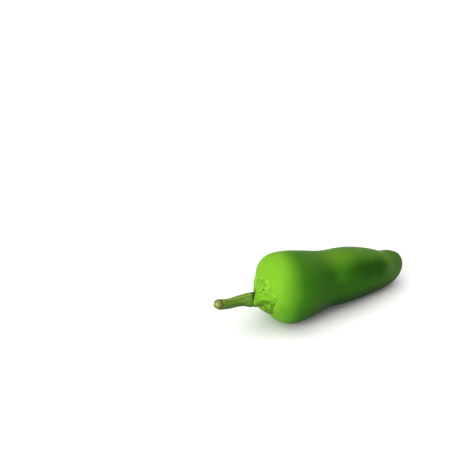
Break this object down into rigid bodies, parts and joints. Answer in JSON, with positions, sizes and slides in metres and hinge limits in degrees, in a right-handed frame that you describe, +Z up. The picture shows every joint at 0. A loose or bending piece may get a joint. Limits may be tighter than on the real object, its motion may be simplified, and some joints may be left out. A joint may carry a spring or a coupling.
{
  "type": "chili pepper",
  "caption": "Fresh green chili pepper lying on its side: a broad-shouldered pod with a soft waist and a blunt tip, a star-edged calyx on the shoulder and a short curved stem with a cut end.",
  "frame": {"origin": "the middle of the whole pepper's box, on the surface it lies on", "axes": "+X along the pod from the stem end to the tip, +Z up from the surface, +Y to the pod's side"},
  "size_m": [0.0942, 0.0304, 0.0303],
  "materials": {
    "pod_skin": "smooth glossy waxy skin, yellow-green at the shoulder and dark green beyond it",
    "calyx_skin": "finely wrinkled light green, with a low sheen",
    "stem_skin": "ribbed olive green, with a dry tan cut end"
  },
  "bodies": {
    "root": {"pod": "pod_skin", "calyx": "calyx_skin", "stem": "stem_skin"}
  },
  "joints": []
}
